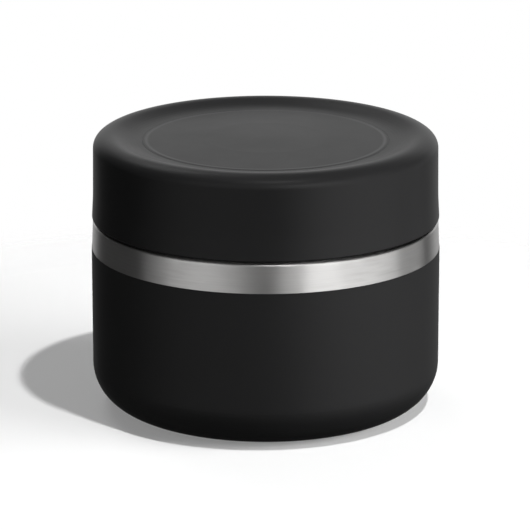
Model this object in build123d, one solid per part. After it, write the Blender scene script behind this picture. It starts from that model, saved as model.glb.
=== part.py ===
from build123d import *
import os
from math import cos, radians, tan

# Insulated food jar with a screw lid, in millimetres.
# +Z is up along the jar's axis, and z = 0 is the surface that the jar stands on.

# ---- jar body, outside
body_radius = 49.5          # over the powder coat
coat_thickness = 0.1
base_corner_radius = 12.3   # over the powder coat
band_bottom_z = 46.0        # the coat ends here, and the bare steel band begins
band_height = 8.1           # up to the flat shoulder under the lid's lip
band_lean = 0.33            # how much the band draws in on its way up
band_crown = 90.0           # radius of the band's slight barrel shape
shoulder_bend = 1.2
neck_bend = 1.0

# ---- steel sheet
shell_wall = 0.6
vessel_wall = 0.5
base_wall = 0.6
weld_fit = 0.02             # play between pieces that are welded together

# ---- neck and its pressed thread
shoulder_width = 6.0        # from the body's steel to the neck, at the thread's root
neck_height = 15.8          # from the shoulder to the shell's top edge
thread_lead = 6.0
thread_turns = 1.5
thread_depth = 1.2
thread_root_width = 2.7
thread_crest_width = 1.3
thread_start_height = 3.6   # above the shoulder, to the middle of the thread
thread_ends_inset = 0.01    # turns by which the pressed hollow stops short of each end
liner_thread_delay = 0.25   # turns by which the lid's rib starts after the neck's

# ---- base
base_turn_in = 2.2          # level edge of the shell's bottom, past the base corner
base_lap = 2.0              # overlap of the base's flange and the shell
bead_width = 2.4            # ring that the jar stands on
base_recess = 1.4           # height of the base's underside over the ground
cover_radius = 17.0
cover_thickness = 0.4
cover_play = 0.3            # round the cover disc, in its dish
cover_recess = 0.6
seal_dish_radius = 4.2
seal_dish_depth = 0.8
evacuation_hole_radius = 1.2
solder_radius = 3.6
solder_thickness = 0.5
base_bend = 0.45

# ---- inner vessel
vacuum_gap = 2.9            # between the two side walls
neck_gap = 0.9              # between the two walls at the neck
vessel_bottom_z = 6.6       # underside of the inner vessel
vessel_corner_radius = 9.5
vessel_shoulder_drop = 3.4  # below the shell's shoulder
vessel_shoulder_rise = 2.2
vessel_bend = 3.0

# ---- heat shield and getter
foil_thickness = 0.1
foil_play = 0.1
foil_end_inset = 3.0
getter_radius = 4.0
getter_thickness = 1.6
getter_offset = 18.0        # from the axis
strap_thickness = 0.2
strap_width = 3.0
strap_foot = 3.0
strap_play = 0.02

# ---- lid cover
lid_gap = 0.6               # open line between the shoulder and the lid
lip_inset = 0.07            # the lid's widest ring, at its lower edge, against the body's steel
lip_round = 0.55
flare_height = 6.5          # the wall flares outward over this height above its edge
flare_width = 0.36
flare_bend = 65.0
wall_draft = 0.17           # from the flare to the top
rim_round = 3.3             # where the wall turns in to the top
rim_run = 0.02115           # straight between that round and the crest
crest_bend = 5.5            # over the top's highest ring
crest_fall = 37.3           # degrees by which the crest turns down to the rim's round
dish_slope = 20.0           # degrees, where the hollow meets the crest
dish_bend = 14.5            # where the hollow eases down to its level floor
dish_depth = 1.83
cover_wall = 1.8
cover_roof = 1.6

# ---- lid's top disc
disc_margin = 0.64558       # level floor of the hollow, round the disc's pocket
disc_thickness = 0.95
disc_rise = 0.08            # the disc's top over the hollow's floor
disc_edge_width = 0.7       # the disc's top falls to the floor's level over this width
disc_gap = 0.05             # fit of the disc in its pocket

# ---- lid liner
thread_play = 0.4           # across each crest of the two threads
thread_flank_play = 0.4     # between the flanks that bear on each other
skirt_wall = 1.6
liner_roof = 1.4
liner_foot_height = 1.2     # foot that closes the liner against the cover
liner_edge_rise = 0.5       # liner's lower edge above the cover's
plug_depth = 8.6            # below the roof
plug_wall = 1.4
plug_play = 2.2             # between the plug and the mouth
plug_bend = 2.0

# ---- gasket
gasket_thickness = 1.3
gasket_gap = 0.1            # over the lip of the mouth, before the seal is squeezed
gasket_play = 0.25          # to the plug and to the roof
gasket_overhang = 0.8       # past the lip's outer edge
gasket_bead = 0.35

# ---- insulation
foam_play = 0.2
foam_space = 1.0            # between the liner's roof and the cover's

# ---- sizes that follow: radii
steel_radius = body_radius - coat_thickness
shell_inside = steel_radius - shell_wall
vessel_outside = shell_inside - vacuum_gap
band_top_radius = steel_radius - band_lean
base_opening_radius = body_radius - base_corner_radius - base_turn_in
neck_radius = steel_radius - shoulder_width
neck_inside = neck_radius - shell_wall
mouth_outside = neck_inside - neck_gap
mouth_radius = mouth_outside - vessel_wall
thread_crest_radius = neck_radius + thread_depth
skirt_inside = thread_crest_radius + thread_play
skirt_outside = skirt_inside + skirt_wall
plug_radius = mouth_radius - plug_play
lip_radius = steel_radius - lip_inset
flare_top_radius = lip_radius - flare_width
lid_top_radius = flare_top_radius - wall_draft
cover_inside = lid_top_radius - cover_wall

# ---- sizes that follow: heights
cover_dish_z = base_recess + cover_recess
seal_dish_z = cover_dish_z + seal_dish_depth
shoulder_z = band_bottom_z + band_height
neck_top_z = shoulder_z + neck_height
lip_top_z = neck_top_z + vessel_wall
lid_edge_z = shoulder_z + lid_gap
gasket_z = lip_top_z + gasket_gap
roof_z = gasket_z + gasket_thickness + gasket_play
roof_top_z = roof_z + liner_roof
plug_z = roof_z - plug_depth
cover_roof_z = roof_top_z + foam_space
pocket_floor_z = cover_roof_z + cover_roof
disc_top_z = pocket_floor_z + disc_thickness
dish_floor_z = disc_top_z - disc_rise
lid_top_z = dish_floor_z + dish_depth

# ---- sizes that follow: the lid's top, from its wall in to the disc. Its corners are where tangents
# to the ends of its arcs meet.
crest_span = radians(crest_fall + dish_slope) / 2
crest_tilt = radians(crest_fall - dish_slope) / 2
rim_reach = rim_round * tan(radians(90 - crest_fall) / 2)
crest_reach = crest_bend * tan(crest_span)
dish_reach = dish_bend * tan(radians(dish_slope) / 2)
crest_corner = lid_top_radius - (rim_reach + rim_run + crest_reach) * cos(radians(crest_fall))
crest_corner_z = lid_top_z - crest_bend + crest_bend / cos(crest_span) * cos(crest_tilt)
rim_corner_z = crest_corner_z - (lid_top_radius - crest_corner) * tan(radians(crest_fall))
dish_corner = crest_corner - (crest_corner_z - dish_floor_z) / tan(radians(dish_slope))
pocket_radius = dish_corner - dish_reach - disc_margin
disc_radius = pocket_radius - disc_gap


# Turns an outline once round the jar's axis. Each corner is (radius, height, bend), where bend is
# the fillet at that corner.
def turned(corners):
    with BuildPart() as part:
        with BuildSketch(Plane.XZ):
            with BuildLine():
                outline(corners)
            make_face()
        revolve(axis=Axis.Z)
    return part.part


# Turns a pressed sheet: corners give one face of it, and the other lies a thickness away, to the
# left of the way that the corners run. Bends are those of the face given.
def pressed(corners, thickness):
    places = [Vector(radius, height) for radius, height, bend in corners]
    runs = [(after - before).normalized() for before, after in zip(places, places[1:])]
    far_face = []
    for place, (radius, height, bend), run_in, run_out in zip(
        places, corners, runs[:1] + runs, runs + runs[-1:]
    ):
        # the far corner is where the two runs meet once each has moved by the thickness
        left_in, left_out = run_in.rotate(Axis.Z, 90), run_out.rotate(Axis.Z, 90)
        far = place + (left_in + left_out) * thickness / (1 + left_in.dot(left_out))
        turns_left = run_in.cross(run_out).Z > 0
        far_bend = max(bend - thickness, 0) if turns_left else bend + thickness
        far_face.append((far.X, far.Y, far_bend if bend else 0))
    return turned(corners + far_face[::-1])


def outline(corners):
    points = [(radius, height) for radius, height, bend in corners]
    return FilletPolyline(*points, radius=[bend for radius, height, bend in corners], close=True)


# One helical rib of a thread. It stands on the root radius and ends at the crest radius, and its
# middle starts at start_z, start_turn of a turn round from +X.
def thread_rib(root, crest, root_width, crest_width, turns, start_z, start_turn):
    path = Helix(thread_lead, turns * thread_lead, root)
    with BuildSketch(Plane.XZ) as section:
        with BuildLine():
            Polyline(
                (root, -root_width / 2),
                (crest, -crest_width / 2),
                (crest, crest_width / 2),
                (root, root_width / 2),
                close=True,
            )
        make_face()
    rib = sweep(section.sketch, path, is_frenet=True)
    return rib.rotate(Axis.Z, 360 * start_turn).translate((0, 0, start_z))


# Width of the neck's rib at a height above its root
def rib_width(depth):
    share = depth / thread_depth
    return thread_root_width + (thread_crest_width - thread_root_width) * share


# ---- jar body

# Side wall from the turned-in bottom, up the band, over the shoulder and up the neck, with the
# thread pressed out through the sheet of the neck.
def outer_shell():
    sheet = pressed(
        [
            (base_opening_radius, coat_thickness, 0),
            (steel_radius, coat_thickness, base_corner_radius - coat_thickness),
            (steel_radius, band_bottom_z, band_crown),
            (band_top_radius, shoulder_z, shoulder_bend),
            (neck_radius, shoulder_z, neck_bend),
            (neck_radius, neck_top_z, 0),
        ],
        shell_wall,
    )
    start_z = shoulder_z + thread_start_height
    root = neck_inside + shell_wall / 2
    spread = rib_width(root - neck_radius)
    rib = thread_rib(
        root, thread_crest_radius, spread, thread_crest_width, thread_turns, start_z, 0
    )
    hollow_turns = thread_turns - 2 * thread_ends_inset
    hollow = thread_rib(
        neck_inside - shell_wall / 2,
        thread_crest_radius - shell_wall,
        spread - shell_wall,
        thread_crest_width - shell_wall,
        hollow_turns,
        start_z + thread_ends_inset * thread_lead,
        thread_ends_inset,
    )
    return sheet + rib - hollow


def powder_coat():
    return pressed(
        [
            (base_opening_radius, 0, 0),
            (body_radius, 0, base_corner_radius),
            (body_radius, band_bottom_z, 0),
        ],
        coat_thickness,
    )


# Pan lapped over the inside of the shell's bottom. Its bead stands on the ground, and its middle
# is dished twice: for the cover disc, and for the solder over the evacuation hole. Each dish has a
# side that slopes at 45 degrees.
def outer_base():
    lap_z = coat_thickness + shell_wall + weld_fit
    bead_outer = base_opening_radius - weld_fit
    bead_inner = bead_outer - bead_width
    return pressed(
        [
            (evacuation_hole_radius, seal_dish_z, 0),
            (seal_dish_radius, seal_dish_z, base_bend),
            (seal_dish_radius + seal_dish_depth, cover_dish_z, base_bend),
            (cover_radius + cover_play, cover_dish_z, base_bend),
            (cover_radius + cover_play + cover_recess, base_recess, base_bend),
            (bead_inner - base_recess, base_recess, base_bend),
            (bead_inner, 0, base_bend),
            (bead_outer, 0, base_bend),
            (bead_outer, lap_z, 0),
            (base_opening_radius + base_lap, lap_z, 0),
        ],
        base_wall,
    )


def base_cover():
    top_z = cover_dish_z - weld_fit
    return turned(
        [
            (0, top_z - cover_thickness, 0),
            (cover_radius, top_z - cover_thickness, cover_thickness / 3),
            (cover_radius, top_z, 0),
            (0, top_z, 0),
        ]
    )


# Solder bead in the dish, with a stub up the evacuation hole
def vacuum_seal():
    stub_radius = evacuation_hole_radius - weld_fit
    return turned(
        [
            (0, seal_dish_z - solder_thickness, 0),
            (solder_radius, seal_dish_z - solder_thickness, solder_thickness / 2),
            (solder_radius, seal_dish_z - weld_fit, 0),
            (stub_radius, seal_dish_z - weld_fit, 0),
            (stub_radius, seal_dish_z + base_wall, 0),
            (0, seal_dish_z + base_wall, 0),
        ]
    )


# Food vessel: one drawn sheet from the middle of its bottom to the lip over the shell's edge
def inner_vessel():
    shoulder_top = shoulder_z - vessel_shoulder_drop
    shoulder_bottom = shoulder_top - vessel_shoulder_rise
    inside = vessel_outside - vessel_wall
    profile = [
        (0, vessel_bottom_z + vessel_wall, 0),
        (inside, vessel_bottom_z + vessel_wall, vessel_corner_radius - vessel_wall),
        (inside, shoulder_bottom - vessel_wall, vessel_bend),
        (mouth_radius, shoulder_top - vessel_wall, vessel_bend),
        (mouth_radius, lip_top_z, vessel_wall),
        (neck_radius, lip_top_z, 0),
    ]
    return pressed(profile[::-1], vessel_wall)


def copper_foil():
    inside = vessel_outside + foil_play
    bottom_z = vessel_bottom_z + vessel_corner_radius + foil_end_inset
    top_z = shoulder_z - vessel_shoulder_drop - vessel_shoulder_rise - foil_end_inset
    return turned(
        [
            (inside, bottom_z, 0),
            (inside + foil_thickness, bottom_z, 0),
            (inside + foil_thickness, top_z, 0),
            (inside, top_z, 0),
        ]
    )


def getter_pill():
    pill = Cylinder(getter_radius, getter_thickness, align=(Align.CENTER, Align.CENTER, Align.MAX))
    return pill.translate((getter_offset, 0, vessel_bottom_z - strap_play))


# Strap under the pill, with a foot on the vessel at each end
def getter_clip():
    reach = getter_radius + strap_play
    low = vessel_bottom_z - 2 * strap_play - getter_thickness
    high = vessel_bottom_z - strap_play
    with BuildPart() as part:
        with BuildSketch(Plane.XZ):
            with BuildLine():
                Polyline(
                    (-reach - strap_foot, high),
                    (-reach - strap_foot, high - strap_thickness),
                    (-reach - strap_thickness, high - strap_thickness),
                    (-reach - strap_thickness, low - strap_thickness),
                    (reach + strap_thickness, low - strap_thickness),
                    (reach + strap_thickness, high - strap_thickness),
                    (reach + strap_foot, high - strap_thickness),
                    (reach + strap_foot, high),
                    (reach, high),
                    (reach, low),
                    (-reach, low),
                    (-reach, high),
                    close=True,
                )
            make_face()
        extrude(amount=strap_width / 2, both=True)
    return part.part.translate((getter_offset, 0, 0))


# ---- lid

# Outer moulding: flared lip, drafted wall, round crest, and a hollow that eases down to the level
# floor round the disc's pocket
def lid_cover():
    return turned(
        [
            (cover_inside, lid_edge_z, 0),
            (lip_radius, lid_edge_z, lip_round),
            (flare_top_radius, lid_edge_z + flare_height, flare_bend),
            (lid_top_radius, rim_corner_z, rim_round),
            (crest_corner, crest_corner_z, crest_bend),
            (dish_corner, dish_floor_z, dish_bend),
            (pocket_radius, dish_floor_z, 0),
            (pocket_radius, pocket_floor_z, 0),
            (0, pocket_floor_z, 0),
            (0, cover_roof_z, 0),
            (cover_inside, cover_roof_z, 0),
        ]
    )


def lid_top_disc():
    return turned(
        [
            (0, pocket_floor_z, 0),
            (disc_radius, pocket_floor_z, 0),
            (disc_radius, dish_floor_z, 0),
            (disc_radius - disc_edge_width, disc_top_z, 0),
            (0, disc_top_z, 0),
        ]
    )


# Inner moulding: plug, roof over the mouth, threaded skirt, and a foot against the cover
def lid_liner():
    edge_z = lid_edge_z + liner_edge_rise
    foot_radius = cover_inside - weld_fit
    body = turned(
        [
            (0, plug_z, 0),
            (plug_radius, plug_z, plug_bend),
            (plug_radius, roof_z, 0),
            (skirt_inside, roof_z, 0),
            (skirt_inside, edge_z, 0),
            (foot_radius, edge_z, 0),
            (foot_radius, edge_z + liner_foot_height, 0),
            (skirt_outside, edge_z + liner_foot_height, 0),
            (skirt_outside, roof_top_z, 0),
            (plug_radius - plug_wall, roof_top_z, 0),
            (plug_radius - plug_wall, plug_z + plug_wall, plug_bend - plug_wall / 2),
            (0, plug_z + plug_wall, 0),
        ]
    )
    # The rib runs under the neck's rib, and bears on it when the lid is tight. It starts late, so
    # that its lower end stays inside the skirt.
    drop = rib_width(thread_play) / 2 + thread_crest_width / 2 + thread_flank_play
    root = skirt_inside + skirt_wall / 2
    crest = neck_radius + thread_play
    rib = thread_rib(
        root,
        crest,
        rib_width(thread_depth - (root - crest)),
        thread_crest_width,
        thread_turns - liner_thread_delay,
        shoulder_z + thread_start_height - drop + liner_thread_delay * thread_lead,
        liner_thread_delay,
    )
    return body + rib


def lid_foam():
    play = foam_play
    inside = plug_radius - plug_wall - play
    return turned(
        [
            (0, plug_z + plug_wall + play, 0),
            (inside, plug_z + plug_wall + play, plug_bend),
            (inside, roof_top_z + play, 0),
            (skirt_outside, roof_top_z + play, 0),
            (skirt_outside, cover_roof_z - play, 0),
            (0, cover_roof_z - play, 0),
        ]
    )


def lid_gasket():
    inner = plug_radius + gasket_play
    outer = neck_radius + gasket_overhang
    top_z = gasket_z + gasket_thickness
    return turned(
        [
            (inner, gasket_z, gasket_bead),
            (outer, gasket_z, gasket_bead),
            (outer, top_z, gasket_bead),
            (inner, top_z, gasket_bead),
        ]
    )


pieces = [
    outer_shell,
    powder_coat,
    outer_base,
    base_cover,
    vacuum_seal,
    inner_vessel,
    copper_foil,
    getter_pill,
    getter_clip,
    lid_cover,
    lid_top_disc,
    lid_liner,
    lid_foam,
    lid_gasket,
]

os.makedirs("parts", exist_ok=True)
for piece in pieces:
    export_step(piece(), f"parts/{piece.__name__}.step")
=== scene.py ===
import math

import bpy
import numpy as np
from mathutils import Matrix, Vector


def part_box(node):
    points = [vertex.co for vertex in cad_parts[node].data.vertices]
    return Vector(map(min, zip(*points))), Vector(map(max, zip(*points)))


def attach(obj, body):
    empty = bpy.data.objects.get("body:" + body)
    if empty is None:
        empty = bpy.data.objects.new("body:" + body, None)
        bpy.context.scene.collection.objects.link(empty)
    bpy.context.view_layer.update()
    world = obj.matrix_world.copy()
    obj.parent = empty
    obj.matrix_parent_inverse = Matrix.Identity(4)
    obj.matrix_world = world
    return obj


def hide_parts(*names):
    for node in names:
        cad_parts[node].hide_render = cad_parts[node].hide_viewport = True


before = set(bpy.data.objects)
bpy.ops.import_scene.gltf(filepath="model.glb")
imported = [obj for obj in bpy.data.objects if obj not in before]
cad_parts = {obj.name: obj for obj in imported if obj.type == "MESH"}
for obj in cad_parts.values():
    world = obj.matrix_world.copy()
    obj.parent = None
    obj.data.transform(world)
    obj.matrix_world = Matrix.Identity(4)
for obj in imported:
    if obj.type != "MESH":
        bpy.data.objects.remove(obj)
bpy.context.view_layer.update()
mm = 0.001  # the pieces' sizes below are in millimetres, and meshes in metres
uvName = "turned"
sharpAngle = 40.0  # degrees between two faces over which their edge shades sharp
print(f"frame loaded, with {len(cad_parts)} nodes")


# A socket that can be used in an expression: each operator adds its Math node.
class Socket:
    def __init__(self, finish, socket):
        self.finish, self.socket = finish, socket

    def maths(self, operation, first, second):
        node = self.finish.node("Math", {"operation": operation}, {0: first, 1: second})
        return Socket(self.finish, node.outputs[0])

    def __add__(self, other):
        return self.maths("ADD", self, other)

    def __sub__(self, other):
        return self.maths("SUBTRACT", self, other)

    def __rsub__(self, other):
        return self.maths("SUBTRACT", other, self)

    def __mul__(self, other):
        return self.maths("MULTIPLY", self, other)

    __radd__ = __add__
    __rmul__ = __mul__

    # how far a noise departs from its middle level, scaled to this width
    def swing(self, width):
        return (self - 0.5) * width


# A material (or the world) and the nodes that make it.
class Finish:
    def __init__(self, name, owner=None):
        self.owner = owner or bpy.data.materials.new(name)
        self.owner.use_nodes = True
        self.tree = self.owner.node_tree
        self.tree.nodes.clear()

    # kind is the node's type without its ShaderNode; settings go first, then socket values or links
    def node(self, kind, settings=None, values=None):
        node = self.tree.nodes.new("ShaderNode" + kind)
        for key, value in (settings or {}).items():
            setattr(node, key, value)
        for key, value in (values or {}).items():
            if isinstance(value, Socket):
                self.tree.links.new(value.socket, node.inputs[key])
            elif isinstance(value, tuple) and node.inputs[key].type == "RGBA":
                node.inputs[key].default_value = (*value, 1)
            else:
                node.inputs[key].default_value = value
        return node

    def out(self, node, name=0):
        return Socket(self, node.outputs[name])

    # the object's own coordinates, in metres
    def place(self):
        return self.out(self.node("TexCoord"), "Object")

    def split(self, vector):
        parts = self.node("SeparateXYZ", {}, {0: vector})
        return self.out(parts, 0), self.out(parts, 1), self.out(parts, 2)

    def join(self, x, y, z):
        return self.out(self.node("CombineXYZ", {}, {0: x, 1: y, 2: z}))

    def length(self, vector):
        return self.out(self.node("VectorMath", {"operation": "LENGTH"}, {0: vector}), 1)

    def noise(self, vector, scale, detail=2.0, roughness=0.5):
        values = {"Vector": vector, "Scale": scale, "Detail": detail, "Roughness": roughness}
        return self.out(self.node("TexNoise", {}, values), 0)

    # a mask that runs from 0 to 1 as value goes from low to high
    def ramp(self, value, low, high):
        values = {"Value": value, "From Min": low, "From Max": high}
        return self.out(self.node("MapRange", {"clamp": True}, values), 0)

    def mix(self, share, first, second):
        values = {0: share, 6: first, 7: second}
        return self.out(self.node("Mix", {"data_type": "RGBA"}, values), 2)

    # a bump map from a height in metres
    def bump(self, height):
        values = {"Height": height, "Strength": 1.0, "Distance": 1.0}
        return self.out(self.node("Bump", {}, values))

    def surface(self, values):
        shader = self.node("BsdfPrincipled", {}, values)
        self.node("OutputMaterial", {}, {0: self.out(shader)})
        return self.owner


# Follows corners of (radius, height, bend), in mm. Each bend is an arc that touches both of its
# runs, in steps of stepAngle degrees. Every run longer than four guards also gets a point at a
# guard's distance from each end, so that flats shade flat.
def profileFrom(corners, closed, stepAngle=9.0, guard=0.12):
    spots = np.array([corner[:2] for corner in corners], float)
    bends = [corner[2] for corner in corners]
    count = len(spots)
    pieces = []
    for index, (here, bend) in enumerate(zip(spots, bends)):
        if bend <= 0 or (not closed and index in (0, count - 1)):
            pieces.append(here[None, :])
            continue
        back = spots[index - 1] - here
        ahead = spots[(index + 1) % count] - here
        back, ahead = back / np.linalg.norm(back), ahead / np.linalg.norm(ahead)
        between = math.acos(float(np.clip(back @ ahead, -1, 1)))
        reach = bend / math.tan(between / 2)
        middle = here + (back + ahead) / np.linalg.norm(back + ahead) * bend / math.sin(between / 2)
        start, end = here + back * reach - middle, here + ahead * reach - middle
        turn = math.atan2(start[0] * end[1] - start[1] * end[0], start @ end)
        steps = max(int(math.ceil(abs(math.degrees(turn)) / stepAngle)), 2)
        angles = math.atan2(start[1], start[0]) + np.linspace(0, turn, steps + 1)
        pieces.append(middle + bend * np.stack([np.cos(angles), np.sin(angles)], 1))
    path = np.concatenate(pieces)
    starts, ends, run = runsOf(path, closed)
    share = (guard / np.maximum(run, guard))[:, None]
    near, far = starts + (ends - starts) * share, ends - (ends - starts) * share
    isLong = run > 4 * guard
    keep = np.stack([np.ones(len(run), bool), isLong, isLong], 1)
    points = np.stack([starts, near, far], 1)[keep]
    return points if closed else np.vstack([points, path[-1:]])


# The starts, ends and lengths of a path's runs, with the run that closes it if it is closed.
def runsOf(path, closed):
    starts = path if closed else path[:-1]
    ends = np.roll(path, -1, 0) if closed else path[1:]
    return starts, ends, np.linalg.norm(ends - starts, axis=1)


# Divides each run whose two ends are inside, so that no part of it is longer than step.
def refined(path, inside, step, closed):
    starts, ends, run = runsOf(path, closed)
    both = inside(starts[:, 0], starts[:, 1]) & inside(ends[:, 0], ends[:, 1])
    parts = np.where(both, np.ceil(run / step), 1).astype(int)
    part = np.arange(parts.sum()) - np.repeat(np.cumsum(parts) - parts, parts)
    share = (part / np.repeat(parts, parts))[:, None]
    points = np.repeat(starts, parts, 0) + share * np.repeat(ends - starts, parts, 0)
    return points if closed else np.vstack([points, path[-1:]])


# Turns a profile about the jar's axis. A closed profile makes a ring, and an open one starts and
# ends on the axis. shift(angle, radius, height) returns how far each point moves outward, in mm.
# The UV map holds the turn in u and the length along the profile, in metres, in v.
def turnedMesh(name, path, closed, around, shift=None):
    rows = path if closed else path[1:-1]
    angle = np.arange(around) * 2 * math.pi / around
    theta, radius = np.meshgrid(angle, rows[:, 0], indexing="ij")
    height = np.broadcast_to(rows[:, 1], radius.shape)
    if shift:
        radius = radius + shift(theta, radius, height)
    grid = np.stack([radius * np.cos(theta), radius * np.sin(theta), height], -1)
    points = grid.reshape(-1, 3)
    count = len(rows)
    along = np.concatenate([[0], np.cumsum(np.linalg.norm(np.diff(path, axis=0), axis=1))])

    column = np.arange(around)[:, None]
    row = np.arange(count if closed else count - 1)[None, :]
    nextColumn, nextRow = (column + 1) % around, (row + 1) % count
    corners = np.stack(
        np.broadcast_arrays(
            column * count + row,
            nextColumn * count + row,
            nextColumn * count + nextRow,
            column * count + nextRow,
        ),
        -1,
    ).reshape(-1, 4)
    first = 0 if closed else 1
    turnU = np.stack(np.broadcast_arrays(column, column + 1, column + 1, column), -1) / around
    alongV = np.append(along, along[-1] + np.linalg.norm(path[0] - path[-1]))
    lowV, highV = alongV[row + first], alongV[row + first + 1]
    rowV = np.stack(np.broadcast_arrays(lowV, lowV, highV, highV), -1)
    rowV = np.broadcast_to(rowV, (around, row.shape[1], 4))
    turnU = np.broadcast_to(turnU, (around, row.shape[1], 4))
    uv = np.stack([turnU.reshape(-1), rowV.reshape(-1) * mm], -1)
    loops, sizes = corners.reshape(-1), np.full(len(corners), 4)

    if not closed:
        poles = np.array([[0, 0, path[0, 1]], [0, 0, path[-1, 1]]])
        points = np.concatenate([points, poles])
        here, there = np.arange(around) * count, (np.arange(around) + 1) % around * count
        lowPole, highPole = len(points) - 2, len(points) - 1
        lowFan = np.stack([np.full(around, lowPole), there, here], -1)
        highFan = np.stack([np.full(around, highPole), here + count - 1, there + count - 1], -1)
        fanTurn = np.arange(around) / around
        fanU = np.stack([fanTurn, fanTurn, fanTurn], -1).reshape(-1)
        ends = [(along[0], along[1]), (along[-1], along[-2])]
        fanV = np.concatenate([np.tile([tip, rim, rim], around) for tip, rim in ends])
        uv = np.concatenate([uv, np.stack([np.tile(fanU, 2), fanV * mm], -1)])
        loops = np.concatenate([loops, lowFan.reshape(-1), highFan.reshape(-1)])
        sizes = np.concatenate([sizes, np.full(2 * around, 3)])
    return solidMesh(name, points * mm, loops, sizes, uv)


# Puts whole arrays into a mesh: points, each face's corners end to end, the number of corners of
# each face, and a UV pair for each corner.
def solidMesh(name, points, loops, sizes, uv):
    mesh = bpy.data.meshes.new(name)
    mesh.vertices.add(len(points))
    mesh.vertices.foreach_set("co", points.astype(np.float32).reshape(-1))
    mesh.loops.add(len(loops))
    mesh.loops.foreach_set("vertex_index", loops.astype(np.int32))
    mesh.polygons.add(len(sizes))
    starts = np.concatenate([[0], np.cumsum(sizes)[:-1]])
    mesh.polygons.foreach_set("loop_start", starts.astype(np.int32))
    mesh.polygons.foreach_set("loop_total", sizes.astype(np.int32))
    layer = mesh.uv_layers.new(name=uvName)
    layer.data.foreach_set("uv", uv.astype(np.float32).reshape(-1))
    mesh.update(calc_edges=True)
    mesh.validate()
    mesh.polygons.foreach_set("use_smooth", np.ones(len(sizes), bool))
    mesh.set_sharp_from_angle(angle=math.radians(sharpAngle))
    piece = bpy.data.objects.new(name, mesh)
    bpy.context.scene.collection.objects.link(piece)
    return piece


# Hands a piece to the frame: its body, the node it stands for, its slot and its finish.
def dress(piece, body, node, material):
    piece.data.materials.append(material)
    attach(piece, body)
    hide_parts(node)
    low, high = (np.array(corner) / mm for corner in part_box(node))
    print(f"{piece.name}: {len(piece.data.polygons)} faces, stands for {node},",
          f"{high[0] - low[0]:.1f} mm across, {low[2]:.1f} to {high[2]:.1f} mm high")


# A node's top, bottom and outer radius at rest, in mm.
def nodeTop(node):
    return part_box(node)[1].z / mm


def nodeBottom(node):
    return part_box(node)[0].z / mm


def nodeRadius(node):
    return max(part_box(node)[1].x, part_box(node)[1].y) / mm


# A colour with each part times a number.
def tinted(colour, tint):
    return tuple(part * tint for part in colour)


# In the finishes, a pattern's size is its number of cells per metre, and its height is in metres.
coatLook = {
    "colour": (0.016, 0.016, 0.0163),
    "lighter": 1.5,        # times the colour, where specks and clouds are full
    "roughness": 0.5,
    "specular": 0.13,
    "peelSize": 1100,
    "peelHeight": 0.000006,
    "grainSize": 5200,
    "grainHeight": 0.0000016,
    "grainRoughness": 0.08,
    "specks": (0.55, 0.8),  # the grain's levels where a speck begins and is full
    "speckShare": 0.5,
    "cloudSize": 45,
    "cloudShare": 0.3,
    "cloudRoughness": 0.06,
}


# Orange peel with a finer grain over it. The grain's tops are paler specks, and a slow cloud
# changes the colour and the gloss.
def powderCoatFinish():
    look, finish = coatLook, Finish("blackPowderCoat")
    place = finish.place()
    peel = finish.noise(place, look["peelSize"])
    grain = finish.noise(place, look["grainSize"], detail=1.0)
    cloud = finish.noise(place, look["cloudSize"], detail=3.0)
    speck = finish.ramp(grain, *look["specks"])
    pale = speck * look["speckShare"] + cloud * look["cloudShare"]
    rough = look["roughness"] + cloud.swing(look["cloudRoughness"])
    return finish.surface({
        "Base Color": finish.mix(pale, look["colour"], tinted(look["colour"], look["lighter"])),
        "Roughness": rough + grain.swing(look["grainRoughness"]),
        "Specular IOR Level": look["specular"],
        "Normal": finish.bump(peel * look["peelHeight"] + grain * look["grainHeight"]),
    })


lidLook = {
    "colour": (0.0155, 0.0155, 0.0158),
    "lighter": 1.45,
    "roughness": 0.38,
    "specular": 0.105,
    "sparkSize": 3800,
    "sparkHeight": 0.0000022,
    "sparkShare": 0.25,
    "sparkRoughness": 0.08,
    "waveSize": 160,
    "waveHeight": 0.00001,
    "smearSize": 30,
    "smearShare": 0.5,
    "smearRoughness": 0.14,
    "paintedHighlightRadius": 0.0337,  # metres, of the painted highlight line near the disc's edge
    "paintedHighlightWidth": 0.0007,   # from its middle to where it ends
    # the colour of the painted highlight line near the disc's edge
    "paintedHighlightColour": (0.058, 0.058, 0.0585),
    # the painted highlight's share of the colour where its line is full
    "lineShare": 0.6,
    "paintedHighlightSmear": 0.6,      # what a smear adds to that share
    "discRoughness": 0.02,  # more than the cover's
    "discTint": 1.05,
}


# Spark erosion leaves a fine grain, over slow waves of the moulding. Smears change its colour and
# gloss.
# A painted highlight, a pale line near the disc's edge, is full at one radius and gone a width from
# it.
def lidPlasticFinish(name, roughness, tint):
    look, finish = lidLook, Finish(name)
    place = finish.place()
    spark = finish.noise(place, look["sparkSize"], roughness=0.6)
    wave = finish.noise(place, look["waveSize"])
    smear = finish.noise(place, look["smearSize"], detail=3.0, roughness=0.6)
    x, y, _ = finish.split(place)
    radius = finish.length(finish.join(x, y, 0.0))
    middle, width = look["paintedHighlightRadius"], look["paintedHighlightWidth"]
    # the mask of the painted highlight line round the disc's edge
    line = finish.ramp(radius, middle - width, middle) * finish.ramp(radius, middle + width, middle)
    dark = tinted(look["colour"], tint)
    pale = smear * look["smearShare"] + spark * look["sparkShare"]
    colour = finish.mix(pale, dark, tinted(dark, look["lighter"]))
    # the painted highlight's strength, varied by the smears
    paintedHighlight = line * (look["lineShare"] + smear * look["paintedHighlightSmear"])
    rough = roughness + smear.swing(look["smearRoughness"])
    return finish.surface({
        "Base Color": finish.mix(paintedHighlight, colour, look["paintedHighlightColour"]),
        "Roughness": rough + spark.swing(look["sparkRoughness"]),
        "Specular IOR Level": look["specular"],
        "Normal": finish.bump(spark * look["sparkHeight"] + wave * look["waveHeight"]),
    })


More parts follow.
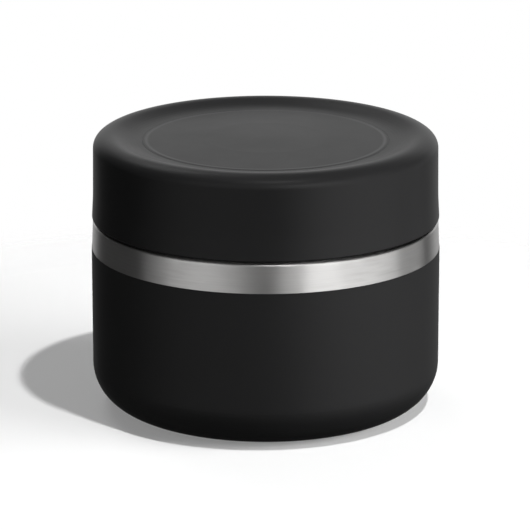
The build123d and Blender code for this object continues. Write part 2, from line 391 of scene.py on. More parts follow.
steelLook = {
    "colour": (0.60, 0.594, 0.586),
    "shade": (0.50, 0.494, 0.487),
    "anisotropic": 0.9,
    "anisotropicTurn": 0.25,  # a quarter turn, because the brushing runs round the axis
    "lineLength": 14,         # streaks per metre round the turn
    "lineCount": 7000,        # and across it
    "lineLevels": (0.35, 0.7),
    "lineShare": 0.4,
    "lineRoughness": 0.12,
    "broadCount": 6,          # fine streaks to one broad one
    "broadHeight": 2,         # times the height of a fine one
    "strokeLength": 150,      # short strokes per metre round the turn
    "strokeCount": 1900,      # and across it
    "strokeHeight": 0.0000018,
    "strokeShare": 0.35,
    "strokeRoughness": 0.16,
    "smearSize": 35,
    "smearShare": 0.25,
    "smearRoughness": 0.06,
}
steels = {
    "brushedSteel": {"roughness": 0.38, "lineHeight": 0.0000009, "tint": 1.0},
    "vesselSteel": {"roughness": 0.26, "lineHeight": 0.0000006, "tint": 1.04},
    "baseSteel": {"roughness": 0.33, "lineHeight": 0.0000012, "tint": 0.97},
}


# Brushed along the turn: noise stretched round the axis, and fine along the profile.
def turnedSteelFinish(name):
    look, steel, finish = steelLook, steels[name], Finish(name)
    place = finish.place()
    x, y, _ = finish.split(place)
    along = finish.split(finish.out(finish.node("UVMap", {"uv_map": uvName})))[1]
    stretch = look["lineLength"] / look["lineCount"]
    streaks = finish.join(x * stretch, y * stretch, along)
    fine = finish.noise(streaks, look["lineCount"], detail=3.0, roughness=0.65)
    broad = finish.noise(streaks, look["lineCount"] / look["broadCount"])
    stretch = look["strokeLength"] / look["strokeCount"]
    strokes = finish.join(x * stretch, y * stretch, along)
    stroke = finish.noise(strokes, look["strokeCount"], roughness=0.6)
    smear = finish.noise(place, look["smearSize"], detail=3.0)
    lines = finish.ramp(fine, *look["lineLevels"])
    dark = lines * look["lineShare"] + stroke * look["strokeShare"] + smear * look["smearShare"]
    colour, shade = tinted(look["colour"], steel["tint"]), tinted(look["shade"], steel["tint"])
    rough = steel["roughness"] + fine.swing(look["lineRoughness"])
    rough = rough + stroke.swing(look["strokeRoughness"]) + smear.swing(look["smearRoughness"])
    relief = fine * steel["lineHeight"] + broad * steel["lineHeight"] * look["broadHeight"]
    return finish.surface({
        "Base Color": finish.mix(dark, colour, shade),
        "Metallic": 1.0,
        "Roughness": rough,
        "Anisotropic": look["anisotropic"],
        "Anisotropic Rotation": look["anisotropicTurn"],
        "Normal": finish.bump(relief + stroke * look["strokeHeight"]),
    })


linerLook = {
    "colours": ((0.013, 0.013, 0.0135), (0.02, 0.02, 0.0205)),
    "roughness": 0.36,
    "specular": 0.4,
    "grainSize": 2600,
    "grainHeight": 0.0000018,
    "grainRoughness": 0.06,
    "smearSize": 60,
    "smearRoughness": 0.1,
}


# A fine moulded grain under handling smears.
def linerFinish():
    look, finish = linerLook, Finish("linerPlastic")
    place = finish.place()
    grain = finish.noise(place, look["grainSize"])
    smear = finish.noise(place, look["smearSize"], detail=3.0)
    rough = look["roughness"] + smear.swing(look["smearRoughness"])
    return finish.surface({
        "Base Color": finish.mix(smear, *look["colours"]),
        "Roughness": rough + grain.swing(look["grainRoughness"]),
        "Specular IOR Level": look["specular"],
        "Normal": finish.bump(grain * look["grainHeight"]),
    })


siliconeLook = {
    "colours": ((0.36, 0.36, 0.355), (0.46, 0.46, 0.455)),
    "roughness": 0.55,
    "dustSize": 900,
    "dustHeight": 0.000004,
    "dustRoughness": 0.15,
    "soft": 0.15,
    "softRadius": (0.002, 0.002, 0.002),
}


# Dust that clings to it pales and dulls it.
def siliconeFinish():
    look, finish = siliconeLook, Finish("paleGreySilicone")
    dust = finish.noise(finish.place(), look["dustSize"], detail=3.0, roughness=0.7)
    return finish.surface({
        "Base Color": finish.mix(dust, *look["colours"]),
        "Roughness": look["roughness"] + dust.swing(look["dustRoughness"]),
        "Subsurface Weight": look["soft"],
        "Subsurface Radius": look["softRadius"],
        "Normal": finish.bump(dust * look["dustHeight"]),
    })


copperLook = {
    "colours": ((0.8, 0.42, 0.27), (0.62, 0.3, 0.19)),
    "roughness": 0.22,
    "creaseSize": 220,
    "creaseHeight": 0.00012,
    "creaseRoughness": 0.2,
    "stainSize": 40,
}


# Creases stand up and are duller, and stains darken it.
def copperFinish():
    look, finish = copperLook, Finish("copperFoil")
    place = finish.place()
    crease = finish.noise(place, look["creaseSize"], detail=4.0, roughness=0.7)
    stain = finish.noise(place, look["stainSize"], detail=3.0)
    return finish.surface({
        "Base Color": finish.mix(stain, *look["colours"]),
        "Metallic": 1.0,
        "Roughness": look["roughness"] + crease * look["creaseRoughness"],
        "Normal": finish.bump(crease * look["creaseHeight"]),
    })


foamLook = {
    "colours": ((0.66, 0.62, 0.5), (0.82, 0.79, 0.68)),
    "roughness": 0.8,
    "cellSize": 1400,
    "cellHeight": 0.00015,
    "cellRoughness": 0.1,
}


# Each cell is a Voronoi cell, low and dark in its middle, high and pale at its walls.
def foamFinish():
    look, finish = foamLook, Finish("rigidFoam")
    values = {"Vector": finish.place(), "Scale": look["cellSize"]}
    cell = finish.out(finish.node("TexVoronoi", {"feature": "F1"}, values), "Distance")
    return finish.surface({
        "Base Color": finish.mix(cell, *look["colours"]),
        "Roughness": look["roughness"] + cell.swing(look["cellRoughness"]),
        "Normal": finish.bump(cell * look["cellHeight"]),
    })


solderLook = {
    "colours": ((0.03, 0.028, 0.025), (0.08, 0.075, 0.07)),
    "roughness": 0.12,
    "hazeSize": 700,
    "hazeHeight": 0.00003,
    "hazeRoughness": 0.15,
}


# A haze from the furnace pales and dulls the glass.
def solderFinish():
    look, finish = solderLook, Finish("glassSolder")
    haze = finish.noise(finish.place(), look["hazeSize"], detail=3.0)
    return finish.surface({
        "Base Color": finish.mix(haze, *look["colours"]),
        "Roughness": look["roughness"] + haze * look["hazeRoughness"],
        "Normal": finish.bump(haze * look["hazeHeight"]),
    })


getterLook = {
    "colours": ((0.09, 0.09, 0.095), (0.2, 0.2, 0.205)),
    "metallic": 0.6,
    "roughness": 0.6,
    "grainSize": 4500,
    "grainHeight": 0.00003,
    "grainRoughness": 0.2,
}


# Grains of pressed metal powder.
def getterFinish():
    look, finish = getterLook, Finish("pressedPowder")
    grain = finish.noise(finish.place(), look["grainSize"], detail=3.0, roughness=0.7)
    return finish.surface({
        "Base Color": finish.mix(grain, *look["colours"]),
        "Metallic": look["metallic"],
        "Roughness": look["roughness"] + grain.swing(look["grainRoughness"]),
        "Normal": finish.bump(grain * look["grainHeight"]),
    })


coatFinish = powderCoatFinish()
coverFinish = lidPlasticFinish("lidPlastic", lidLook["roughness"], 1.0)
discRoughness = lidLook["roughness"] + lidLook["discRoughness"]
discFinish = lidPlasticFinish("lidDiscPlastic", discRoughness, lidLook["discTint"])
bandFinish = turnedSteelFinish("brushedSteel")
vesselFinish = turnedSteelFinish("vesselSteel")
baseFinish = turnedSteelFinish("baseSteel")
print("finishes made")


# In the pieces below, a bend or a round is a radius, and around is the number of facets in a turn.
shell = {
    "wall": 0.6,
    "baseCorner": 12.2,
    "baseTurnIn": 2.2,     # flat ring between the corner's arc and the opening
    "bandHeight": 8.1,
    "bandLean": 0.33,      # how far the band leans in on its way up
    "bandCrown": 90.0,
    "shoulderBend": 0.55,
    "shoulderWidth": 6.0,
    "neckBend": 1.0,
    "edgeBend": 0.08,
    "around": 288,
}
thread = {
    "lead": 6.0,
    "turns": 1.5,
    "depth": 1.2,
    "rootWidth": 2.9,
    "crestWidth": 1.1,
    "startHeight": 3.6,    # over the shoulder, to the middle of the rib
    "runOut": 0.07,        # turns over which the rib fades at each end
    "rowHeight": 0.22,     # of the mesh's rows that carry the rib
}
steelRadius = nodeRadius("outer_shell")
coatTop = nodeTop("powder_coat")
shoulderZ = coatTop + shell["bandHeight"]
neckRadius = steelRadius - shell["shoulderWidth"]
neckTop = nodeTop("outer_shell")
shellBottom = nodeBottom("outer_shell")
baseOpening = steelRadius - shell["baseCorner"] - shell["baseTurnIn"]


# Height of a helical rib over its root: full within half the crest's width of its middle line,
# easing to nothing at half the root's width, and fading out at both ends of the turns. The middle
# line rises by the lead for each turn, and each lap of it is worked out for all points at once.
def ribHeight(theta, height, startZ, firstTurn, lastTurn):
    total = np.zeros_like(theta)
    slope = (thread["rootWidth"] - thread["crestWidth"]) / 2
    for lap in range(int(math.ceil(lastTurn)) + 1):
        turn = theta / (2 * math.pi) + lap
        offset = np.abs(height - startZ - thread["lead"] * turn)
        across = np.clip((thread["rootWidth"] / 2 - offset) / slope, 0, 1)
        across = across * across * (3 - 2 * across)
        fade = np.clip((turn - firstTurn) / thread["runOut"], 0, 1)
        fade = fade * np.clip((lastTurn - turn) / thread["runOut"], 0, 1)
        total = np.maximum(total, across * fade * (2 - fade))
    return thread["depth"] * total


# Both faces of a pressed sheet: the corners give its outer face, and the inner face follows it a
# wall's thickness to the left of the way that they run. A bend that turns left is smaller by the
# wall on the inner face, and one that turns right is larger by it.
def sheetCorners(corners, wall, leastBend=0.05):
    spots = np.array([corner[:2] for corner in corners], float)
    runs = np.diff(spots, axis=0)
    runs /= np.linalg.norm(runs, axis=1)[:, None]
    runIn, runOut = np.vstack([runs[:1], runs]), np.vstack([runs, runs[-1:]])
    leftIn = np.stack([-runIn[:, 1], runIn[:, 0]], 1)
    leftOut = np.stack([-runOut[:, 1], runOut[:, 0]], 1)
    facing = 1 + (leftIn * leftOut).sum(1)
    far = spots + (leftIn + leftOut) * wall / facing[:, None]
    turnsLeft = runIn[:, 0] * runOut[:, 1] - runIn[:, 1] * runOut[:, 0] > 0
    bends = np.array([corner[2] for corner in corners])
    farBends = np.where(turnsLeft, np.maximum(bends - wall, leastBend), bends + wall)
    farBends[0], farBends[-1] = bends[0], bends[-1]
    inner = [(*spot, bend) for spot, bend in zip(far, farBends)]
    return list(corners) + inner[::-1]


# Whether a point of the shell is on the neck, on either face of its sheet.
def onNeck(radius, height, slack=0.1):
    return (radius < neckRadius + slack) & (height > shoulderZ)


# A pressed sheet from the opening in the base, round the corner, up the wall and the crowned band,
# in over the shoulder and up the neck. On the neck both faces move out by the thread's rib.
def makeSteelShell():
    corners = [
        (baseOpening, shellBottom, shell["edgeBend"]),
        (steelRadius, shellBottom, shell["baseCorner"]),
        (steelRadius, coatTop, shell["bandCrown"]),
        (steelRadius - shell["bandLean"], shoulderZ, shell["shoulderBend"]),
        (neckRadius, shoulderZ, shell["neckBend"]),
        (neckRadius, neckTop, shell["edgeBend"]),
    ]
    path = profileFrom(sheetCorners(corners, shell["wall"]), True)
    path = refined(path, onNeck, thread["rowHeight"], True)
    startZ = shoulderZ + thread["startHeight"]

    def pressThread(theta, radius, height):
        rib = ribHeight(theta, height, startZ, 0, thread["turns"])
        return np.where(onNeck(radius, height), rib, 0)

    return turnedMesh("steelShell", path, True, shell["around"], pressThread)


dress(makeSteelShell(), "jar", "outer_shell", bandFinish)


coat = {
    "stepAngle": 5.0,
    "around": 288,
}


# A skin outside the shell, of one thickness round the base corner and up to the band. Its hem in
# the base is rounded by a third of that thickness, and its top edge by a half.
def makePowderCoat():
    thickness = nodeRadius("powder_coat") - steelRadius
    outside = steelRadius + thickness
    corners = [
        (baseOpening, 0, thickness / 3),
        (outside, 0, shell["baseCorner"] + thickness),
        (outside, coatTop, thickness / 2),
        (steelRadius, coatTop, 0),
        (steelRadius, thickness, shell["baseCorner"]),
        (baseOpening, thickness, 0),
    ]
    path = profileFrom(corners, True, coat["stepAngle"])
    return turnedMesh("powderCoat", path, True, coat["around"])


dress(makePowderCoat(), "jar", "powder_coat", coatFinish)


vessel = {
    "wall": 0.5,
    "vacuumGap": 2.9,
    "neckGap": 0.9,
    "corner": 9.5,
    "shoulderDrop": 3.4,   # from the jar's shoulder down to the vessel's
    "shoulderRise": 2.2,
    "bend": 3.0,
    "lipRound": 0.12,
    "around": 256,
}
vesselRadius = steelRadius - shell["wall"] - vessel["vacuumGap"]
mouthRadius = neckRadius - shell["wall"] - vessel["neckGap"] - vessel["wall"]
vesselBottom = nodeBottom("inner_vessel")
lipTop = nodeTop("inner_vessel")


# A drawn sheet: the corners give its inner face from the lip down to the axis, and the outer face
# lies a wall outside it. The path then runs from the axis out along the underside, up over the
# lip and back down inside to the axis.
def makeFoodVessel():
    wall = vessel["wall"]
    shoulderTop = shoulderZ - vessel["shoulderDrop"]
    shoulderBottom = shoulderTop - vessel["shoulderRise"]
    inside = vesselRadius - wall
    face = [
        (neckRadius, lipTop, vessel["lipRound"]),
        (mouthRadius, lipTop, wall),
        (mouthRadius, shoulderTop - wall, vessel["bend"]),
        (inside, shoulderBottom - wall, vessel["bend"]),
        (inside, vesselBottom + wall, vessel["corner"] - wall),
        (0, vesselBottom + wall, 0),
    ]
    corners = sheetCorners(face, wall)
    middle = len(face)
    outward = corners[middle:] + corners[:middle]
    return turnedMesh("foodVessel", profileFrom(outward, False), False, vessel["around"])


dress(makeFoodVessel(), "jar", "inner_vessel", vesselFinish)


base = {
    "wall": 0.6,
    "holeRadius": 1.2,
    "sealDishRadius": 4.2,
    "sealDishDepth": 0.8,
    "coverRecess": 0.6,
    "recess": 1.4,         # from the floor up to the pan's face
    "beadWidth": 2.4,
    "fit": 0.02,
    "lap": 2.0,
    "bend": 0.45,
    "edgeBend": 0.05,
    "around": 256,
}
baseCover = {
    "play": 0.3,
    "thickness": 0.4,
    "around": 192,
}


# A pressed sheet: the corners give its underside, out from the evacuation hole over the solder's
# dish, the cover's recess and the bead that the jar stands on, to the lap over the shell's edge.
def makeBasePan():
    beadOuter = baseOpening - base["fit"]
    beadInner = beadOuter - base["beadWidth"]
    coverDish = base["recess"] + base["coverRecess"]
    sealDish = coverDish + base["sealDishDepth"]
    dishRadius = nodeRadius("base_cover") + baseCover["play"]
    lapZ = shellBottom + shell["wall"] + base["fit"]
    bend, edge = base["bend"], base["edgeBend"]
    face = [
        (base["holeRadius"], sealDish, edge),
        (base["sealDishRadius"], sealDish, bend),
        (base["sealDishRadius"] + base["sealDishDepth"], coverDish, bend),
        (dishRadius, coverDish, bend),
        (dishRadius + base["coverRecess"], base["recess"], bend),
        (beadInner - base["recess"], base["recess"], bend),
        (beadInner, 0, bend),
        (beadOuter, 0, bend),
        (beadOuter, lapZ, edge),
        (baseOpening + base["lap"], lapZ, edge),
    ]
    path = profileFrom(sheetCorners(face, base["wall"]), True)
    return turnedMesh("basePan", path, True, base["around"])


dress(makeBasePan(), "jar", "outer_base", baseFinish)


# A flat disc. Its lower edge is rounded by a third of its thickness, and its upper by an eighth.
def makeBaseCover():
    top, bottom = nodeTop("base_cover"), nodeBottom("base_cover")
    radius = nodeRadius("base_cover")
    corners = [
        (0, bottom, 0),
        (radius, bottom, baseCover["thickness"] / 3),
        (radius, top, baseCover["thickness"] / 8),
        (0, top, 0),
    ]
    return turnedMesh("baseCover", profileFrom(corners, False), False, baseCover["around"])


dress(makeBaseCover(), "jar", "base_cover", baseFinish)


foil = {
    "inside": 0.1,         # its two faces' distances from the vessel
    "outside": 0.2,
    "around": 192,
}


# A thin sleeve round the food vessel, with a square-cornered section.
def makeCopperFoil():
    bottom, top = nodeBottom("copper_foil"), nodeTop("copper_foil")
    inside, outside = vesselRadius + foil["inside"], vesselRadius + foil["outside"]
    corners = [(inside, bottom, 0), (outside, bottom, 0), (outside, top, 0), (inside, top, 0)]
    return turnedMesh("copperFoil", profileFrom(corners, True), True, foil["around"])


dress(makeCopperFoil(), "jar", "copper_foil", copperFinish())
print("jar body made")


lid = {
    "lipInset": 0.07,
    "lipRound": 0.55,
    "flareHeight": 6.5,
    "flareWidth": 0.36,
    "flareBend": 65.0,
    "draft": 0.17,
    "rimRound": 3.3,
    "crestRadius": 44.15,  # of the top's highest ring
    "crestBend": 5.5,
    "crestFall": 37.3,     # degrees by which the crest turns down to the rim's round
    "dishSlope": 20.0,     # degrees, where the hollow meets the crest
    "dishBend": 14.5,
    "dishDepth": 1.83,
    "wall": 1.8,
    "edgeBend": 0.2,
    "insideBend": 1.2,
    "pocketGap": 0.02,     # round the disc
    "pocketEdge": 0.04,
    "pocketBend": 0.1,
    "stepAngle": 4.0,
    "around": 288,
}
lidEdge, lidTop = nodeBottom("lid_cover"), nodeTop("lid_cover")
lipRadius = steelRadius - lid["lipInset"]
flareRadius = lipRadius - lid["flareWidth"]
topRadius = flareRadius - lid["draft"]
coverInside = topRadius - lid["wall"]
pocketRadius = nodeRadius("lid_top_disc") + lid["pocketGap"]
dishFloor = lidTop - lid["dishDepth"]


# One moulding: from the axis out under the roof and down inside the wall, round the lip, up the
# flared wall, over the rim and the crest, and down into the hollow and the disc's pocket. The
# crest is an arc whose top is the highest ring. The tangents at the arc's two ends meet each other,
# the wall's line and the hollow's floor in the corners that the profile rounds off.
def makeLidCover():
    pocketFloor = nodeBottom("lid_top_disc")
    roofZ = nodeTop("lid_foam") + liner["foamPlay"]
    slope, fall = math.radians(lid["dishSlope"]), math.radians(lid["crestFall"])
    reach, tilt = lid["crestBend"] / math.cos((slope + fall) / 2), (fall - slope) / 2
    crest = lid["crestRadius"] + reach * math.sin(tilt)
    crestZ = lidTop - lid["crestBend"] + reach * math.cos(tilt)
    rimZ = crestZ - (topRadius - crest) * math.tan(fall)
    hollow = crest - (crestZ - dishFloor) / math.tan(slope)
    corners = [
        (0, roofZ, 0),
        (coverInside, roofZ, lid["insideBend"]),
        (coverInside, lidEdge, lid["edgeBend"]),
        (lipRadius, lidEdge, lid["lipRound"]),
        (flareRadius, lidEdge + lid["flareHeight"], lid["flareBend"]),
        (topRadius, rimZ, lid["rimRound"]),
        (crest, crestZ, lid["crestBend"]),
        (hollow, dishFloor, lid["dishBend"]),
        (pocketRadius, dishFloor, lid["pocketEdge"]),
        (pocketRadius, pocketFloor, lid["pocketBend"]),
        (0, pocketFloor, 0),
    ]
    path = profileFrom(corners, False, lid["stepAngle"])
    return turnedMesh("lidCover", path, False, lid["around"])


disc = {
    "edgeWidth": 0.7,      # over which the disc falls to the hollow's floor
    "edgeBend": 0.03,
    "faceBend": 1.0,
    "footBend": 0.1,
    "dome": 2.0,           # degrees by which the disc's face falls away at its edge
    "domeReach": 0.45,     # share of the face's radius that the dome's arc takes, on each side
    "stepAngle": 6.0,
    "around": 288,
}


# A plate whose face is level at the axis and slopes by the dome's angle at its edge, with one wide
# arc between the two. A short slope at the rim takes it down to the hollow's floor.
def makeLidTopDisc():
    bottom, top = nodeBottom("lid_top_disc"), nodeTop("lid_top_disc")
    radius = nodeRadius("lid_top_disc")
    face, fall = radius - disc["edgeWidth"], math.radians(disc["dome"])
    crown = top + face / 2 * math.tan(fall)
    corners = [
        (0, bottom, 0),
        (radius, bottom, disc["footBend"]),
        (radius, dishFloor, disc["edgeBend"]),
        (face, top, disc["faceBend"]),
        (face / 2, crown, disc["domeReach"] * face / math.tan(fall / 2)),
        (0, crown, 0),
    ]
    path = profileFrom(corners, False, disc["stepAngle"])
    return turnedMesh("lidTopDisc", path, False, disc["around"])


liner = {
    "skirtWall": 1.6,
    "threadPlay": 0.4,
    "flankPlay": 0.4,
    "threadDelay": 0.25,   # turns of the thread before the liner's own rib begins
    "recess": 0.5,         # from the lid's lip up to the liner's
    "footHeight": 1.2,
    "footPlay": 0.02,
    "footBend": 0.1,
    "plugWall": 1.4,
    "plugPlay": 2.2,
    "plugBend": 2.0,
    "roof": 1.4,
    "edgeBend": 0.25,
    "foamPlay": 0.2,
    "around": 288,
}
skirtInside = neckRadius + thread["depth"] + liner["threadPlay"]
plugRadius = mouthRadius - liner["plugPlay"]


# Whether a point of the liner is on the skirt's inner face. Both tests take the same arguments.
def onSkirt(radius, height, slack=0.01):
    return np.abs(radius - skirtInside) < slack


# The liner's underside runs from the axis over the plug, the sealing roof and the skirt's inner
# face to the foot, and its upper side back over the skirt and inside the plug. The skirt's inner
# face moves in by a rib under the neck's own, lower by half of each rib's width and the play.
def makeLidLiner():
    roofTop = nodeTop("lid_liner")
    plugZ = nodeBottom("lid_foam") - liner["foamPlay"] - liner["plugWall"]
    edgeZ = lidEdge + liner["recess"]
    roofZ = roofTop - liner["roof"]
    skirtOutside = skirtInside + liner["skirtWall"]
    foot = coverInside - liner["footPlay"]
    inner = plugRadius - liner["plugWall"]
    small, footBend = liner["edgeBend"], liner["footBend"]
    corners = [
        (0, plugZ, 0),
        (plugRadius, plugZ, liner["plugBend"]),
        (plugRadius, roofZ, small),
        (skirtInside, roofZ, small),
        (skirtInside, edgeZ, small),
        (foot, edgeZ, footBend),
        (foot, edgeZ + liner["footHeight"], footBend),
        (skirtOutside, edgeZ + liner["footHeight"], footBend),
        (skirtOutside, roofTop, small),
        (inner, roofTop, small),
        (inner, plugZ + liner["plugWall"], liner["plugBend"] - liner["plugWall"] / 2),
        (0, plugZ + liner["plugWall"], 0),
    ]
    path = profileFrom(corners, False)
    path = refined(path, onSkirt, thread["rowHeight"], False)
    # the neck's rib is this wide a third of the way up its flanks, where the liner's crest passes
    widthThere = thread["rootWidth"] - (thread["rootWidth"] - thread["crestWidth"]) / 3
    drop = widthThere / 2 + thread["crestWidth"] / 2 + liner["flankPlay"]
    startZ = shoulderZ + thread["startHeight"] - drop

    def raiseThread(theta, radius, height):
        rib = ribHeight(theta, height, startZ, liner["threadDelay"], thread["turns"])
        return np.where(onSkirt(radius, height), -rib, 0)

    return turnedMesh("lidLiner", path, False, liner["around"], raiseThread)


gasket = {
    "plugPlay": 0.25,
    "bend": 0.35,
    "around": 192,
}


# A ring with a rectangular section, all four corners of it rounded alike.
def makeLidGasket():
    bottom, top = nodeBottom("lid_gasket"), nodeTop("lid_gasket")
    inner, outer = plugRadius + gasket["plugPlay"], nodeRadius("lid_gasket")
    spots = [(inner, bottom), (outer, bottom), (outer, top), (inner, top)]
    path = profileFrom([(*spot, gasket["bend"]) for spot in spots], True)
    return turnedMesh("lidGasket", path, True, gasket["around"])


foam = {
    "plugBend": 2.0,
    "edgeBend": 0.1,
    "around": 192,
}


# A disc that fills the lid under its roof, with a narrower boss that fills the plug.
def makeLidFoam():
    bottom, top = nodeBottom("lid_foam"), nodeTop("lid_foam")
    outer = nodeRadius("lid_foam")
    inner = plugRadius - liner["plugWall"] - liner["foamPlay"]
    ledge = nodeTop("lid_liner") + liner["foamPlay"]
    corners = [
        (0, bottom, 0),
        (inner, bottom, foam["plugBend"]),
        (inner, ledge, foam["edgeBend"]),
        (outer, ledge, foam["edgeBend"]),
        (outer, top, foam["edgeBend"]),
        (0, top, 0),
    ]
    return turnedMesh("lidFoam", profileFrom(corners, False), False, foam["around"])


dress(makeLidCover(), "lid", "lid_cover", coverFinish)
dress(makeLidTopDisc(), "lid", "lid_top_disc", discFinish)
dress(makeLidLiner(), "lid", "lid_liner", linerFinish())
dress(makeLidFoam(), "lid", "lid_foam", foamFinish())
dress(makeLidGasket(), "seal", "lid_gasket", siliconeFinish())
print("lid made")

# small hidden pieces keep their solids and get a finish
for node, material in {
    "vacuum_seal": solderFinish(),
    "getter_pill": getterFinish(),
    "getter_clip": vesselFinish,
}.items():
    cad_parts[node].data.materials.clear()
    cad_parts[node].data.materials.append(material)


# The studio's lengths are in metres, and its angles in degrees.
studio = {
    "floorRadius": 0.2,
    "floorDrop": 0.00005,  # under the bead that the jar stands on
    "floorFade": (0.75, 0.98),  # shares of the radius between which the floor melts away
    "floorSeen": 1.0,      # the floor's grey to the camera
    "floorBounce": 0.22,   # and in what it throws back at the jar
    "floorWhite": 0.2,     # share of the floor that stays plain white to the camera
    "ambient": 0.048,
    "backTurn": 175.0,     # azimuth of the middle of the backdrop, from the camera
    "backGlow": 0.85,      # the white backdrop, as the jar mirrors it over the horizon
    "floorGlow": 0.35,     # and under it, from underDepth down
    "underDepth": -0.24,   # this and the next are parts of a mirrored ray's unit direction
    "backEdge": (0.72, 0.9),  # its part towards the backdrop's middle, where it is none and full
    "backTop": (0.75, 0.6),   # and its upward part, at the backdrop's top and foot
    "backFoot": (-0.55, -0.4),
}
cameraSpec = {
    "target": (-0.00018, 0, 0.03993),
    "distance": 1.100,
    "pitch": 16.16,
    "focal": 261.9,        # millimetres, on a sensor of this width
    "sensor": 36,
    "clip": (0.05, 20),
}
# Each row of lights: where its panels hang from the jar (azimuths from the camera, elevation,
# distance), the size of one panel in metres, its radiance, each panel's share of it, and whether
# the row shows in all that it lights, in the gloss alone or in the matte alone.
lights = {
    "key": {"azimuths": (41,), "elevation": 67, "distance": 2.0, "size": (0.07, 0.07),
            "level": 1680, "shows": "matte"},
    "rightBox": {"azimuths": (60, 80), "elevation": 22, "distance": 1.5, "size": (0.52, 0.6),
                 "level": 9.1, "shows": "matte"},
    "leftBox": {"azimuths": (-40,), "elevation": 22, "distance": 1.5, "size": (0.52, 0.6),
                "level": 1.5, "shows": "all"},
    "backBox": {"azimuths": (-150,), "elevation": 50, "distance": 1.5, "size": (0.6, 0.5),
                "level": 3.2, "shows": "all"},
    "rightCard": {"azimuths": range(30, 91, 10), "elevation": -10, "distance": 1.5,
                  "size": (0.26, 0.9), "level": 1.86, "shows": "gloss",
                  "shares": (1, 1, 1.15, 1.2, 1.05, 0.9, 0.78)},
    "rightHighCard": {"azimuths": (20, 40, 60), "elevation": 22, "distance": 1.5,
                      "size": (0.52, 0.6), "level": 3.7, "shows": "gloss"},
    "sideCard": {"azimuths": (100, 110, 120), "elevation": -10, "distance": 1.5,
                 "size": (0.26, 0.9), "level": 0.555, "shows": "gloss"},
    "frontHighCard": {"azimuths": (-60, -40, -20, 0), "elevation": 22, "distance": 1.5,
                      "size": (0.52, 0.6), "level": 0.75, "shows": "gloss",
                      "shares": (0.6, 0.75, 1, 0.45)},
    "topCard": {"azimuths": (13,), "elevation": 68, "distance": 1.5, "size": (0.4, 0.3),
                "level": 10.0, "shows": "gloss"},
    "leftCard": {"azimuths": range(-80, 0, 10), "elevation": -10, "distance": 1.5,
                 "size": (0.26, 0.9), "level": 0.68, "shows": "gloss",
                 "shares": (0.4, 0.7, 1.35, 1.38, 1.32, 1.22, 1, 0.4)},
}


# A square of paper that melts into the white round it: how clear it is grows with the distance
# from its middle. What lies beyond it is as dim as the room.
def makeFloor():
    size = studio["floorRadius"]
    mesh = bpy.data.meshes.new("floor")
    corners = [(-size, -size), (size, -size), (size, size), (-size, size)]
    mesh.from_pydata([(x, y, -studio["floorDrop"]) for x, y in corners], [], [(0, 1, 2, 3)])
    floor = bpy.data.objects.new("floor", mesh)
    bpy.context.scene.collection.objects.link(floor)
    finish = Finish("paleFloor")
    seen = finish.out(finish.node("LightPath"), "Is Camera Ray")
    colour = finish.mix(seen, (studio["floorBounce"],) * 3, (studio["floorSeen"],) * 3)
    paper = finish.out(finish.node("BsdfDiffuse", {}, {"Color": colour}))
    white = finish.out(finish.node("Emission", {}, {"Color": (1, 1, 1), "Strength": 1.0}))
    values = {0: seen * studio["floorWhite"], 1: paper, 2: white}
    paper = finish.out(finish.node("MixShader", {}, values))
    clear = finish.out(finish.node("BsdfTransparent"))
    fadeStart, fadeEnd = studio["floorFade"]
    rim = finish.ramp(finish.length(finish.place()), size * fadeStart, size * fadeEnd)
    shader = finish.node("MixShader", {}, {0: rim, 1: paper, 2: clear})
    finish.node("OutputMaterial", {}, {0: finish.out(shader)})
    mesh.materials.append(finish.owner)
    floor.visible_glossy = False  # the walls mirror the room, not the paper under the jar


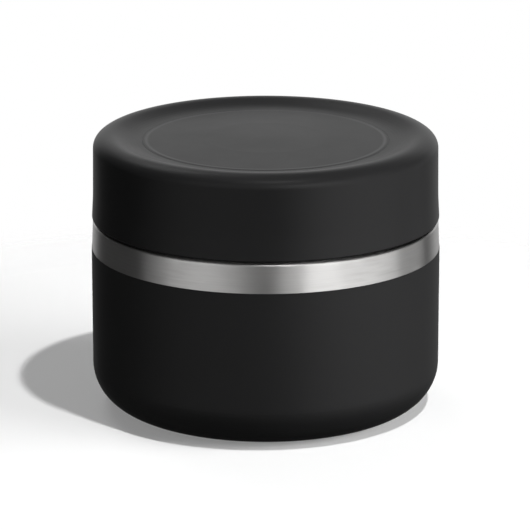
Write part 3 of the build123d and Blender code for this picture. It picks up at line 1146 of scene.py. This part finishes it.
# White to the camera and through anything clear. What the jar mirrors is a white backdrop behind
# it and a dim room elsewhere. Matte surfaces get the dim room alone.
def makeWorld():
    world = bpy.data.worlds.new("studio")
    bpy.context.scene.world = world
    finish = Finish("studio", world)
    path = finish.node("LightPath")
    seen = finish.out(path, "Is Camera Ray") + finish.out(path, "Is Transmission Ray")
    mirrored = finish.out(path, "Is Glossy Ray")
    x, y, z = finish.split(finish.out(finish.node("TexCoord"), "Generated"))
    turn = math.radians(studio["backTurn"])
    behind = x * math.sin(turn) - y * math.cos(turn)
    low = finish.ramp(z, *studio["backTop"]) * finish.ramp(z, *studio["backFoot"])
    under = finish.ramp(z, 0.0, studio["underDepth"])
    glow = under * (studio["floorGlow"] - studio["backGlow"]) + studio["backGlow"]
    backdrop = finish.ramp(behind, *studio["backEdge"]) * low * glow
    level = seen + (1 - seen) * (mirrored * backdrop + studio["ambient"])
    shader = finish.node("Background", {}, {"Color": (1, 1, 1), "Strength": level})
    finish.node("OutputWorld", {}, {0: finish.out(shader)})


# Each panel's power is its radiance times pi and its area, and it faces the target.
def makeLights(name, spec):
    width, height = spec["size"]
    target = np.array(cameraSpec["target"])
    up = math.radians(spec["elevation"])
    shares = spec.get("shares", [1] * len(spec["azimuths"]))
    for azimuth, share in zip(spec["azimuths"], shares):
        light = bpy.data.lights.new(name, "AREA")
        light.shape = "RECTANGLE"
        light.size, light.size_y = width, height
        light.energy = spec["level"] * share * math.pi * width * height
        lamp = bpy.data.objects.new(name, light)
        around = math.radians(azimuth)
        aim = [math.sin(around) * math.cos(up), -math.cos(around) * math.cos(up), math.sin(up)]
        lamp.location = target + np.array(aim) * spec["distance"]
        lamp.rotation_euler = (math.pi / 2 - up, 0, around)
        lamp.visible_camera = False
        lamp.visible_glossy = spec["shows"] != "matte"
        lamp.visible_diffuse = spec["shows"] != "gloss"
        bpy.context.scene.collection.objects.link(lamp)


# Stands in front of the jar, its distance away along the pitch, and looks at the target.
def makeCamera():
    data = bpy.data.cameras.new("camera")
    data.lens, data.sensor_width = cameraSpec["focal"], cameraSpec["sensor"]
    camera = bpy.data.objects.new("camera", data)
    pitch = math.radians(cameraSpec["pitch"])
    x, y, z = cameraSpec["target"]
    back = cameraSpec["distance"] * math.cos(pitch)
    camera.location = (x, y - back, z + cameraSpec["distance"] * math.sin(pitch))
    camera.rotation_euler = (math.pi / 2 - pitch, 0, 0)
    data.clip_start, data.clip_end = cameraSpec["clip"]
    bpy.context.scene.collection.objects.link(camera)
    bpy.context.scene.camera = camera


makeFloor()
makeWorld()
for name, spec in lights.items():
    makeLights(name, spec)
makeCamera()
bpy.context.scene.view_settings.view_transform = "Standard"
print("studio made")
